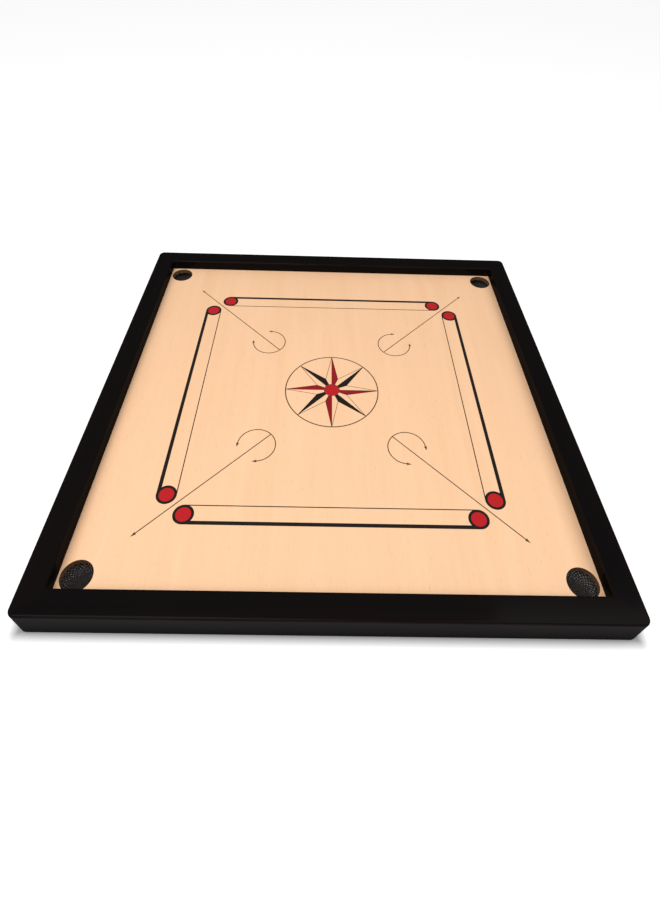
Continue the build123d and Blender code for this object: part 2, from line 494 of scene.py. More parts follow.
@dataclass(frozen=True)
class BareWood(Finish):
    """Planed bare wood with growth rings."""

    grain: Grain
    name: str = "bare_wood"
    light: Colour = (0.720, 0.500, 0.280)
    dark: Colour = (0.420, 0.230, 0.100)
    rings: float = 95.0
    ring_share: float = 0.55
    fibre_share: float = 0.30
    pore_share: float = 0.40
    relief: float = 0.05 * MM

    def material(self) -> Material:
        """Builds the bare wood.

        Returns:
            The material.
        """
        graph, shader, material = self.start(Specular_IOR_Level=0.25)
        place = self.place(graph, self.grain)
        wood = graph.group(shared("wood"), place)
        drawn = graph.vectors("MULTIPLY", a=place, b=(0.06, 1.0, 1.0)).outputs[0]
        rings = graph.add("ShaderNodeTexWave", {"Vector": drawn, "Scale": self.rings, "Distortion": 5.0,
                                                "Detail": 2.0, "Detail Scale": 1.4},
                          wave_type="RINGS", rings_direction="X").outputs[0]
        colour = graph.mix(graph.ramp(rings, 0.35, 0.95, 0.0, self.ring_share), self.light, self.dark)
        colour = graph.tint(colour, wood["Fibre"], self.fibre_share, self.dark)
        colour = graph.tint(colour, wood["Pores"], self.pore_share, self.dark)
        self.paint(graph, shader, colour, graph.ramp(wood["Fibre"], 0.0, 1.0, 0.55, 0.72))
        self.bump(graph, shader, wood["Fibre"], self.relief)
        return material


@dataclass(frozen=True)
class Ink(Finish):
    """Screen-printed ink under the bed's lacquer."""

    name: str
    colour: Colour
    thin: Colour
    mottle: float = 0.35

    def material(self) -> Material:
        """Builds the ink.

        Returns:
            The material.
        """
        graph, shader, material = self.start(Specular_IOR_Level=0.14, Coat_Weight=0.04, Coat_Roughness=0.25)
        patches = graph.ramp(graph.noise(graph.spot(), 900.0, 3.0), 0.45, 0.75, 0.0, self.mottle)
        self.paint(graph, shader, graph.mix(patches, self.colour, self.thin),
                   graph.ramp(patches, 0.0, self.mottle, 0.32, 0.42))
        return material


@dataclass(frozen=True)
class Twine(Finish):
    """Dark laid twine."""

    name: str
    colour: Colour
    fluff: Colour
    scale: float = 1500.0
    lay: float = 2.2
    relief: float = 0.10 * MM

    def material(self) -> Material:
        """Builds the twine.

        Returns:
            The material.
        """
        graph, shader, material = self.start(Specular_IOR_Level=0.2, Sheen_Weight=0.15, Sheen_Roughness=0.5)
        spot = graph.spot()
        fibres = graph.noise(spot, self.scale, 4.0, Distortion=1.5)
        lay = graph.add("ShaderNodeTexWave", {"Vector": spot, "Scale": self.scale / self.lay,
                                              "Distortion": 3.0},
                        wave_type="BANDS", bands_direction="DIAGONAL").outputs[0]
        self.paint(graph, shader, graph.mix(graph.ramp(fibres, 0.4, 0.8), self.colour, self.fluff),
                   graph.ramp(fibres, 0.0, 1.0, 0.75, 0.95))
        self.bump(graph, shader, graph.plus(fibres, lay), self.relief)
        return material


@dataclass(frozen=True)
class Steel(Finish):
    """Plated steel with fine turning marks and dulled patches."""

    name: str
    colour: Colour
    dull: Colour
    roughness: float
    dulling: float = 0.25
    relief: float = 0.01 * MM

    def material(self) -> Material:
        """Builds the steel.

        Returns:
            The material.
        """
        graph, shader, material = self.start(Metallic=1.0)
        spot = graph.spot()
        cloud = graph.noise(spot, 420.0, 4.0)
        drawn = graph.vectors("MULTIPLY", a=spot, b=(300.0, 5200.0, 5200.0)).outputs[0]
        lines = graph.noise(drawn, 1.0, 2.0)
        rough = graph.ramp(graph.plus(cloud, lines), 0.7, 1.3, self.roughness, self.roughness + self.dulling)
        self.paint(graph, shader, graph.mix(graph.ramp(cloud, 0.45, 0.7), self.colour, self.dull), rough)
        self.bump(graph, shader, lines, self.relief)
        return material


# ---------------------------------------------------------------- meshes
def round_from(centre: Point, radius: float, turn: float) -> Point:
    """The place at a radius and a turn from a centre."""
    return centre[0] + radius * math.cos(turn), centre[1] + radius * math.sin(turn)


class Prisms:
    """Collects flat outlines raised to thin closed prisms."""

    def __init__(self, bottom: float, top: float) -> None:
        """Starts an empty collection.

        Args:
            bottom: height of the prisms' undersides, in metres.
            top: height of their tops.
        """
        self.bottom, self.top = bottom, top
        self.mesh = bmesh.new()

    def outline(self, points: Sequence[Point]) -> None:
        """Raises one outline.

        Args:
            points: its corners, in metres and in order round it.
        """
        low, high = ([self.mesh.verts.new((x, y, z)) for x, y in points] for z in (self.bottom, self.top))
        self.mesh.faces.new(low)
        self.mesh.faces.new(high)
        for i in range(len(points)):
            j = (i + 1) % len(points)
            self.mesh.faces.new((low[i], low[j], high[j], high[i]))

    def bar(self, start: Point, end: Point, width: float) -> None:
        """Raises a straight stroke.

        Args:
            start: the middle of one end.
            end: the middle of the other end.
            width: the stroke's width.
        """
        a, b = Vector(start), Vector(end)
        side = (b - a).orthogonal().normalized() * (width / 2)
        self.outline([tuple(a + side), tuple(b + side), tuple(b - side), tuple(a - side)])

    def band(self, centre: Point, radius: float, width: float, start: float = 0.0,
             sweep: float = TURN, steps: int = 96) -> None:
        """Raises a ring, or part of one.

        Args:
            centre: its centre.
            radius: the radius of its middle line.
            width: its width.
            start: where it starts, in radians.
            sweep: how far it goes round; a full turn closes it.
            steps: how many stretches it is drawn with.
        """
        whole = abs(sweep) >= TURN
        count = steps if whole else steps + 1
        rims: list[list[bmesh.types.BMVert]] = []
        for r, z in ((radius - width / 2, self.bottom), (radius + width / 2, self.bottom),
                     (radius + width / 2, self.top), (radius - width / 2, self.top)):
            turns = [start + sweep * i / steps for i in range(count)]
            rims.append([self.mesh.verts.new((*round_from(centre, r, t), z)) for t in turns])
        for k in range(4):
            here, there = rims[k], rims[(k + 1) % 4]
            for i in range(steps):
                j = (i + 1) % count
                self.mesh.faces.new((here[i], here[j], there[j], there[i]))
        if not whole:
            self.mesh.faces.new([rim[0] for rim in rims])
            self.mesh.faces.new([rim[-1] for rim in rims])

    def disc(self, centre: Point, radius: float, steps: int = 96) -> None:
        """Raises a round spot."""
        self.outline([round_from(centre, radius, TURN * i / steps) for i in range(steps)])

    def finish(self, name: str) -> Object:
        """Turns the prisms into an object with its faces outwards.

        Args:
            name: the object's name.

        Returns:
            The object.
        """
        bmesh.ops.recalc_face_normals(self.mesh, faces=self.mesh.faces)
        data = bpy.data.meshes.new(name)
        self.mesh.to_mesh(data)
        self.mesh.free()
        return bpy.data.objects.new(name, data)


def finished(graph: Graph, shape: Socket, material: Socket) -> NodeTree:
    """Ends a geometry tree: makes its copies real, gives them the material and puts them out.

    Args:
        graph: the tree's graph.
        shape: the geometry so far.
        material: the group input that holds the material.

    Returns:
        The finished tree.
    """
    real = graph.add("GeometryNodeRealizeInstances", {0: shape}).outputs[0]
    done = graph.add("GeometryNodeSetMaterial", {0: real, "Material": material}).outputs[0]
    graph.add("NodeGroupOutput", {0: done})
    return graph.tree


def repeat_tree() -> NodeTree:
    """Copies an object round the Z axis.

    Returns:
        A geometry tree with named inputs for the template, the count, the first turn and the material.
    """
    graph, given = new_tree(
        "Repeat round the centre", "GeometryNodeTree",
        [("Template", "NodeSocketObject", None), ("Count", "NodeSocketInt", 4), ("First turn", FLOAT, 0.0),
         ("Material", "NodeSocketMaterial", None)],
        [("Geometry", "NodeSocketGeometry")])
    points = graph.add("GeometryNodePoints", {"Count": given["Count"]}).outputs[0]
    index = graph.add("GeometryNodeInputIndex").outputs[0]
    turn = graph.plus(graph.times(index, graph.math("DIVIDE", TURN, given["Count"])), given["First turn"])
    rotation = graph.add("ShaderNodeCombineXYZ", {2: turn}).outputs[0]
    shape = graph.add("GeometryNodeObjectInfo", {"Object": given["Template"]}).outputs["Geometry"]
    copies = graph.add("GeometryNodeInstanceOnPoints", {"Points": points, "Instance": shape,
                                                        "Rotation": rotation}).outputs[0]
    return finished(graph, copies, given["Material"])


def rope_tree(strands: int, steps: int, sides: int) -> NodeTree:
    """A ring of twisted strands about Z.

    Args:
        strands: how many strands are laid together.
        steps: how many stretches each strand is drawn with.
        sides: how many sides a strand has.

    Returns:
        A geometry tree with named inputs for the ring's radius, the rope's radius, its turns and material.
    """
    graph, given = new_tree(
        "Twisted ring", "GeometryNodeTree",
        [("Ring radius", FLOAT, 0.028), ("Rope radius", FLOAT, 0.0015), ("Turns", FLOAT, 26.0),
         ("Material", "NodeSocketMaterial", None)],
        [("Geometry", "NodeSocketGeometry")])
    strand_radius = graph.times(given["Rope radius"], 0.5)
    joined = graph.add("GeometryNodeJoinGeometry")
    for number in range(strands):
        circle = graph.add("GeometryNodeCurvePrimitiveCircle",
                           {"Resolution": steps, "Radius": given["Ring radius"]}, mode="RADIUS").outputs[0]
        place = graph.add("GeometryNodeInputPosition").outputs[0]
        outward = graph.vectors("NORMALIZE", a=place).outputs[0]
        share = graph.add("GeometryNodeSplineParameter").outputs["Factor"]
        angle = graph.plus(graph.times(share, graph.times(given["Turns"], TURN)), TURN * number / strands)
        across = graph.times(graph.math("COSINE", angle), strand_radius)
        rise = graph.times(graph.math("SINE", angle), strand_radius)
        out = graph.vectors("SCALE", a=outward, Scale=across).outputs[0]
        up = graph.add("ShaderNodeCombineXYZ", {2: rise}).outputs[0]
        move = graph.vectors("ADD", a=out, b=up).outputs[0]
        moved = graph.add("GeometryNodeSetPosition", {0: circle, "Offset": move}).outputs[0]
        section = graph.add("GeometryNodeCurvePrimitiveCircle",
                            {"Resolution": sides, "Radius": strand_radius}, mode="RADIUS").outputs[0]
        tube = graph.add("GeometryNodeCurveToMesh", {0: moved, 1: section}).outputs[0]
        graph.tree.links.new(tube, joined.inputs[0])
    smooth = graph.add("GeometryNodeSetShadeSmooth", {0: joined.outputs[0]}).outputs[0]
    return finished(graph, smooth, given["Material"])


def netting_tree(sides: int, segments: int, rings: int) -> NodeTree:
    """Turns a lattice's edges into twine and its tied corners into knots.

    Args:
        sides: how many sides the twine has.
        segments: how many sides a knot has, seen from its pole.
        rings: how many rings of faces a knot has.

    Returns:
        A geometry tree with named inputs for the lattice, the twine's and the knots' radius, the seed and
        the material. The lattice's attribute "knot" holds each corner's knot size, or 0 for none.
    """
    graph, given = new_tree(
        "Knotted netting", "GeometryNodeTree",
        [("Lattice", "NodeSocketObject", None), ("Twine radius", FLOAT, 0.0005),
         ("Knot radius", FLOAT, 0.0011), ("Seed", "NodeSocketInt", SEED),
         ("Material", "NodeSocketMaterial", None)],
        [("Geometry", "NodeSocketGeometry")])
    lattice = graph.add("GeometryNodeObjectInfo", {"Object": given["Lattice"]}).outputs["Geometry"]
    lines = graph.add("GeometryNodeMeshToCurve", {0: lattice}).outputs[0]
    section = graph.add("GeometryNodeCurvePrimitiveCircle",
                        {"Resolution": sides, "Radius": given["Twine radius"]}, mode="RADIUS").outputs[0]
    twine = graph.add("GeometryNodeCurveToMesh", {0: lines, 1: section, "Fill Caps": True}).outputs[0]
    ball = graph.add("GeometryNodeMeshUVSphere", {"Segments": segments, "Rings": rings,
                                                  "Radius": given["Knot radius"]}).outputs[0]
    knot = graph.add("GeometryNodeInputNamedAttribute", {"Name": "knot"}, data_type="FLOAT").outputs[0]

    def drawn(low: Sequence[float], high: Sequence[float]) -> Socket:
        """A random vector between two."""
        return graph.add("FunctionNodeRandomValue", {"Min": low, "Max": high, "Seed": given["Seed"]},
                         data_type="FLOAT_VECTOR").outputs[0]

    turn = drawn((0.0, 0.0, 0.0), (3.0, 3.0, 3.0))
    size = graph.vectors("SCALE", a=drawn((0.8, 0.85, 0.8), (0.95, 1.1, 1.0)), Scale=knot).outputs[0]
    tied = graph.math("GREATER_THAN", knot, 0.0)
    knots = graph.add("GeometryNodeInstanceOnPoints", {"Points": lattice, "Selection": tied,
                                                       "Instance": ball, "Rotation": turn,
                                                       "Scale": size}).outputs[0]
    joined = graph.add("GeometryNodeJoinGeometry")
    for part in (twine, knots):
        graph.tree.links.new(part, joined.inputs[0])
    real = graph.add("GeometryNodeRealizeInstances", {0: joined.outputs[0]}).outputs[0]
    smooth = graph.add("GeometryNodeSetShadeSmooth", {0: real}).outputs[0]
    return finished(graph, smooth, given["Material"])


def grown(name: str, tree: NodeTree, place: Sequence[float] = (0.0, 0.0, 0.0),
          **values: object) -> Object:
    """Runs a geometry tree and keeps its result as a plain mesh.

    Args:
        name: the new piece's name.
        tree: the geometry tree.
        place: where the result's origin goes, in metres.
        values: the tree's inputs, with underscores for spaces.

    Returns:
        An object at the origin, in the scene, with no modifiers.
    """
    carrier = bpy.data.objects.new(name + "_tree", bpy.data.meshes.new(name + "_tree"))
    bpy.context.scene.collection.objects.link(carrier)
    modifier = carrier.modifiers.new("tree", "NODES")
    modifier.node_group = tree
    for item in tree.interface.items_tree:
        key = item.name.replace(" ", "_")
        if item.in_out == "INPUT" and key in values:
            modifier[item.identifier] = values[key]
    graph = bpy.context.evaluated_depsgraph_get()
    data = bpy.data.meshes.new_from_object(carrier.evaluated_get(graph))
    bpy.data.objects.remove(carrier)
    data.transform(Matrix.Translation(place))
    piece = bpy.data.objects.new(name, data)
    bpy.context.scene.collection.objects.link(piece)
    return piece


def along(corners: Sequence[Point], share: float) -> Point:
    """The place a share of the way along a line of corners.

    Args:
        corners: the line's corners, in order.
        share: how far along it, 0 to 1.

    Returns:
        The place.
    """
    runs = [math.dist(a, b) for a, b in zip(corners, corners[1:])]
    left = share * sum(runs)
    for (a, b), run in zip(zip(corners, corners[1:]), runs):
        if left <= run:
            return a[0] + (b[0] - a[0]) * left / run, a[1] + (b[1] - a[1]) * left / run
        left -= run
    return corners[-1]


def seated(piece: Object) -> None:
    """Makes a finished piece ride on the board.

    Args:
        piece: the finished piece.
    """
    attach(piece, BODY)
    LOG.info("%s: %d faces", piece.name, len(piece.data.polygons))


def wear(node: str, material: Material) -> None:
    """Puts a material on a CAD node.

    Args:
        node: the CAD node's name.
        material: what it wears.
    """
    slots = bpy.data.objects[node].material_slots
    for slot in slots:
        slot.material = material
    if not slots:
        bpy.data.objects[node].data.materials.append(material)


# ---------------------------------------------------------------- sub-assemblies
@dataclass
class Woodwork:
    """The rails, the playing panel and the battens, which keep their CAD shapes."""

    half_outer: float
    half_inner: float
    rail_top: float
    bed_top: float
    panel_thickness: float

    def dress(self) -> None:
        """Gives each wooden part its finish."""
        lacquer = {grain: BlackLacquer(grain, self.half_outer, self.half_inner, self.rail_top,
                                       name=f"black_lacquer_{grain.name.lower()}").material()
                   for grain in Grain}
        bare = {grain: BareWood(grain, f"bare_wood_{grain.name.lower()}").material() for grain in Grain}
        for side in SIDES:
            grain = Grain.ALONG_X if side in ("front", "back") else Grain.ALONG_Y
            wear(f"rail_{side}", lacquer[grain])
            wear(f"batten_{side}", bare[grain])
        wear("playing_panel", Plywood(self.bed_top, self.panel_thickness).material())
        beech = BareWood(Grain.ALONG_X, "beech", (0.60, 0.42, 0.26), (0.42, 0.26, 0.14), 160.0)
        wear("mitre_dowels", beech.material())


@dataclass
class Markings:
    """The printed playing lines, in metres from the board's centre."""

    bed_top: float
    film: float = 0.10 * MM
    layer_step: float = 0.3
    base_line_width: float = 6.0 * MM
    fine_width: float = 1.6 * MM
    base_along: float = 220.5 * MM
    base_across: float = 252.6 * MM
    base_radius: float = 15.9 * MM
    base_ring_width: float = 4.2 * MM
    arrow_end: float = 283.0 * MM
    arc_centre: float = 125.5 * MM
    arc_radius: float = 31.75 * MM
    arc_gap: float = math.radians(102)
    head_length: float = 8.0 * MM
    head_width: float = 5.0 * MM
    star_ring: float = 85.0 * MM
    star_tip: float = 85.0 * MM
    star_shoulder: float = 29.5 * MM
    star_line_width: float = 0.8 * MM
    centre_radius: float = 13.6 * MM
    filled_from: float = 0.8
    lines_from: float = 0.9
    star_ring_width: float = 1.92 * MM
    centre_line_width: float = 0.96 * MM
    points: int = 4
    _black: Finish = field(default=Ink("ink_black", (0.010, 0.008, 0.007), (0.035, 0.024, 0.016)))
    _red: Finish = field(default=Ink("ink_red", (0.46, 0.010, 0.014), (0.55, 0.045, 0.040)))
    _maroon: Finish = field(default=Ink("ink_maroon", (0.260, 0.008, 0.012), (0.330, 0.030, 0.026)))
    _fine: Finish = field(default=Ink("ink_fine", (0.075, 0.045, 0.022), (0.190, 0.120, 0.062)))

    def build(self) -> None:
        """Prints each ink."""
        tree = repeat_tree()
        inks = (self._black, self._red, self._maroon, self._fine)
        black, red, maroon, fine = (ink.material() for ink in inks)
        jobs = (("printed_base_lines", self.base_lines(), black, len(SIDES), 0.0),
                ("printed_base_spots", self.base_spots(), red, len(SIDES), 0.0),
                ("printed_arrows", self.arrows(), fine, len(CORNERS), 0.0),
                ("printed_star_red", self.star_halves(), maroon, self.points, 0.0),
                ("printed_star_black", self.star_halves(), black, self.points, self.half_step),
                ("printed_star_lines", self.star_outlines(), black, self.points, 0.0),
                ("printed_centre", self.centre_spot(), red, 1, 0.0),
                ("printed_rings", self.centre_rings(), fine, 1, 0.0))
        for name, template, ink, count, first in jobs:
            piece = grown(name, tree, Template=template, Count=count, First_turn=first, Material=ink)
            bpy.data.objects.remove(template)
            seated(piece)

    @property
    def half_step(self) -> float:
        """The turn from a red star point to the black one beside it."""
        return TURN / (2 * self.points)

    def layer_top(self, number: int) -> float:
        """The height of a layer of ink; a later layer stands a little higher and covers what it overlaps."""
        return self.bed_top + self.film * (1.0 + self.layer_step * (number - 1))

    def print_layer(self, number: int) -> Prisms:
        """Starts a layer of ink."""
        return Prisms(self.bed_top, self.layer_top(number))

    def base_lines(self) -> Object:
        """The front base: its thick line, its fine line and its two circles' rings.

        Returns:
            The template to repeat round the centre, or to print once.
        """
        ink = self.print_layer(0)
        reach = self.base_along
        outer = self.base_across + self.base_radius
        inner = outer - self.base_line_width
        spot = self.base_radius - self.base_ring_width
        cut = math.sqrt(max(spot ** 2 - (inner - self.base_across) ** 2, 0.0)) + self.film
        ink.outline([(-reach, -outer), (reach, -outer), (reach - cut, -inner), (cut - reach, -inner)])
        fine = self.base_across - self.base_radius + self.fine_width / 2
        ink.bar((-reach, -fine), (reach, -fine), self.fine_width)
        ink.top = self.layer_top(1)
        for x in (-reach, reach):
            ink.band((x, -self.base_across), spot + self.base_ring_width / 2, self.base_ring_width)
        return ink.finish("base_lines")

    def base_spots(self) -> Object:
        """The front base's two red spots.

        Returns:
            The template to repeat round the centre, or to print once.
        """
        ink = self.print_layer(0)
        for x in (-self.base_along, self.base_along):
            ink.disc((x, -self.base_across), self.base_radius - self.base_ring_width)
        return ink.finish("base_spots")

    def head(self, ink: Prisms, end: Point, heading: float) -> None:
        """A slim arrowhead that starts at the end of a line and points along a heading.

        Args:
            ink: the layer that it is printed in.
            end: the end of the line.
            heading: the way it points, in radians.
        """
        forward = Vector((math.cos(heading), math.sin(heading)))
        side = Vector((-forward.y, forward.x)) * (self.head_width / 2)
        back = Vector(end)
        ink.outline([tuple(back + forward * self.head_length), tuple(back + side), tuple(back - side)])

    def arrows(self) -> Object:
        """One corner's arrow, with its arc.

        Returns:
            The template to repeat round the centre, or to print once.
        """
        ink = self.print_layer(1)
        outward = TURN / 8
        start = self.arc_centre - (self.arc_radius - self.fine_width / 2) / math.sqrt(2)
        ink.bar((start, start), (self.arrow_end, self.arrow_end), self.fine_width)
        self.head(ink, (self.arrow_end, self.arrow_end), outward)
        centre = (self.arc_centre, self.arc_centre)
        ink.band(centre, self.arc_radius, self.fine_width, outward + self.arc_gap / 2, TURN - self.arc_gap)
        for way in (-1, 1):
            turn = outward - way * self.arc_gap / 2
            self.head(ink, round_from(centre, self.arc_radius, turn), turn + way * TURN / 4)
        return ink.finish("arrows")

    def kite(self, heading: float) -> tuple[Point, Point, Point]:
        """The corners of one star point.

        Args:
            heading: the point's turn from the X axis, in radians.

        Returns:
            The tip, the clockwise shoulder and the other shoulder.
        """
        places = ((self.star_tip, 0.0), (self.star_shoulder, -0.5), (self.star_shoulder, 0.5))
        return tuple(round_from((0.0, 0.0), radius, heading + side * self.half_step)
                     for radius, side in places)

    def star_halves(self) -> Object:
        """The filled half of one star point.

        Returns:
            The template to repeat round the centre, or to print once.
        """
        ink = self.print_layer(0)
        tip, clockwise, _ = self.kite(0.0)
        inner = self.centre_radius * self.filled_from
        ink.outline([(inner, 0.0), round_from((0.0, 0.0), inner, -self.half_step / 2), clockwise, tip])
        return ink.finish("star_half")

    def star_outlines(self) -> Object:
        """The outlines of two neighbouring star points.

        Returns:
            The template to repeat round the centre, or to print once.
        """
        ink = self.print_layer(1)
        inner = self.centre_radius * self.lines_from
        for heading in (0.0, self.half_step):
            tip, clockwise, other = self.kite(heading)
            root, foot = (tuple(Vector(end).normalized() * inner) for end in (tip, other))
            for start, end in ((tip, other), (root, tip), (foot, other), (tip, clockwise)):
                ink.bar(start, end, self.star_line_width)
        return ink.finish("star_outlines")

    def centre_spot(self) -> Object:
        """The red centre circle.

        Returns:
            The template to repeat round the centre, or to print once.
        """
        ink = self.print_layer(2)
        ink.disc((0.0, 0.0), self.centre_radius)
        return ink.finish("centre_spot")

    def centre_rings(self) -> Object:
        """The outer ring, and the fine line round the centre circle.

        Returns:
            The template to repeat round the centre, or to print once.
        """
        ink = self.print_layer(2)
        ink.band((0.0, 0.0), self.star_ring, self.star_ring_width, steps=160)
        ink.band((0.0, 0.0), self.centre_radius + self.centre_line_width / 2, self.centre_line_width)
        return ink.finish("centre_rings")


@dataclass
class PocketNets:
    """The knotted nets and the rim cords that carry them."""

    around: int = 32
    rows: int = 18
    twine_radius: float = 0.72 * MM
    knot_radius: float = 1.20 * MM
    gathered_radius: float = 1.6 * MM
    closing_knot: float = 2.2
    neck_rows: int = 3
    neck_in: float = 4.6 * MM
    neck_drop: float = 0.26
    hip_in: float = 1.2 * MM
    hip_drop: float = 0.50
    belly_drop: float = 0.72
    foot_in: float = 3.5 * MM
    foot_rise: float = 0.06
    flat_share: float = 0.6
    gather_rise: float = 0.08
    top_gap: float = 1.2
    slack: float = 0.5 * MM
    twine_sides: int = 7
    knot_segments: int = 8
    knot_rings: int = 5
    rope_turns: float = 26.0
    rope_strands: int = 3
    rope_steps: int = 312
    strand_sides: int = 8
    _yarn: Finish = field(default=Twine("net_twine", (0.011, 0.008, 0.007), (0.050, 0.036, 0.028)))
    _cord: Finish = field(default=Twine("rim_cord_twine", (0.024, 0.017, 0.013), (0.090, 0.066, 0.050),
                                        1100.0))

    def build(self) -> None:
        """Makes a net and a rim cord for each pocket."""
        yarn, cord = self._yarn.material(), self._cord.material()
        netting = netting_tree(self.twine_sides, self.knot_segments, self.knot_rings)
        rope = rope_tree(self.rope_strands, self.rope_steps, self.strand_sides)
        for number, corner in enumerate(CORNERS):
            self.net(corner, number, netting, yarn)
            self.rim(corner, rope, cord)

    def profile(self, low: Vector, high: Vector) -> list[Point]:
        """The bag's outline from its neck to its gathered middle.

        Args:
            low: the CAD bag's lowest corner.
            high: its highest corner.

        Returns:
            Corners as (radius, height), at the twine's middle.
        """
        belly = (high.x - low.x) / 2 - self.twine_radius
        neck = belly - self.neck_in
        floor, top = low.z + self.twine_radius, high.z - self.top_gap * self.twine_radius
        depth = top - floor
        return [(neck, top), (neck, top - self.neck_drop * depth),
                (belly - self.hip_in, top - self.hip_drop * depth), (belly, top - self.belly_drop * depth),
                (belly - self.foot_in, floor + self.foot_rise * depth), (belly * self.flat_share, floor),
                (self.gathered_radius, floor + self.gather_rise * depth)]

    def lattice(self, outline: Sequence[Point], lowest: float, draw: random.Random) -> Object:
        """Draws a net's diamonds, with a little seeded slack.

        Args:
            outline: the bag's profile.
            lowest: the height that nothing hangs below.
            draw: the source of the slack.

        Returns:
            A mesh of edges, with the size of the knot at each corner as the attribute "knot".
        """
        shape = bmesh.new()
        knots: dict[tuple[int, int], bmesh.types.BMVert] = {}
        for row in range(self.rows + 1):
            radius, height = along(outline, row / self.rows)
            for step in range(self.around):
                shake = Vector(draw.uniform(-1, 1) for _ in range(3)) * self.slack
                shake.z = abs(shake.z) * 0.5
                x, y = round_from((0.0, 0.0), radius, TURN * (step + 0.5 * (row % 2)) / self.around)
                place = Vector((x, y, height)) + (shake if 0 < row < self.rows else Vector())
                knots[row, step] = shape.verts.new(place)
        tied = {vert: 1.0 for (row, _), vert in knots.items() if row >= self.neck_rows}
        closing = shape.verts.new((0.0, 0.0, lowest + self.closing_knot * self.knot_radius))
        tied[closing] = self.closing_knot
        for row in range(self.rows):
            for step in range(self.around):
                right = (step + row % 2) % self.around
                for other in ((right - 1) % self.around, right):
                    a, b = knots[row, step], knots[row + 1, other]
                    middle = (a.co + b.co) / 2 + Vector((0, 0, -self.slack * draw.uniform(0.2, 1.0)))
                    middle.z = max(middle.z, lowest + self.twine_radius)
                    bend = shape.verts.new(middle)
                    shape.edges.new((a, bend))
                    shape.edges.new((bend, b))
        for step in range(self.around):
            shape.edges.new((knots[self.rows, step], knots[self.rows, (step + 1) % self.around]))
        sizes = [tied.get(vert, 0.0) for vert in shape.verts]
        data = bpy.data.meshes.new("net_lattice")
        shape.to_mesh(data)
        shape.free()
        data.attributes.new("knot", "FLOAT", "POINT").data.foreach_set("value", sizes)
        return bpy.data.objects.new("net_lattice", data)

    def net(self, corner: str, number: int, tree: NodeTree, yarn: Material) -> None:
        """Knots one net over its CAD bag's shape.

        Args:
            corner: the pocket's corner, such as front_left.
            number: its place in the order, which sets its slack.
            tree: the netting tree.
            yarn: the net's material.
        """
        low, high = (Vector(v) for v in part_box(f"net_{corner}"))
        centre = Vector(((low.x + high.x) / 2, (low.y + high.y) / 2, 0.0))
        lattice = self.lattice(self.profile(low, high), low.z, random.Random(SEED + number))
        piece = grown(f"knotted_net_{corner}", tree, centre, Lattice=lattice, Material=yarn,
                      Twine_radius=self.twine_radius, Knot_radius=self.knot_radius)
        bpy.data.objects.remove(lattice)
        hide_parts(f"net_{corner}")
        seated(piece)

    def rim(self, corner: str, tree: NodeTree, cord: Material) -> None:
        """Lays one rim cord as twisted strands.

        Args:
            corner: the pocket's corner, such as front_left.
            tree: the twisted ring's tree.
            cord: the cord's material.
        """
        low, high = (Vector(v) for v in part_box(f"rim_cord_{corner}"))
        thickness = high.z - low.z
        piece = grown(f"twisted_rim_{corner}", tree, (low + high) / 2,
                      Ring_radius=(high.x - low.x - thickness) / 2, Rope_radius=thickness / 2,
                      Turns=self.rope_turns, Material=cord)
        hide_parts(f"rim_cord_{corner}")
        seated(piece)


@dataclass
class Ironmongery:
    """The screws and tacks, which keep their CAD shapes."""

    _zinc: Finish = field(default=Steel("zinc_plate", (0.66, 0.62, 0.52), (0.42, 0.40, 0.36), 0.28))
    _blued: Finish = field(default=Steel("blued_steel", (0.16, 0.16, 0.18), (0.07, 0.065, 0.065), 0.34))

    def dress(self) -> None:
        """Gives the fasteners their metals."""
        zinc = self._zinc.material()
        for node in ("panel_screws", "batten_screws"):
            wear(node, zinc)
        wear("net_tacks", self._blued.material())


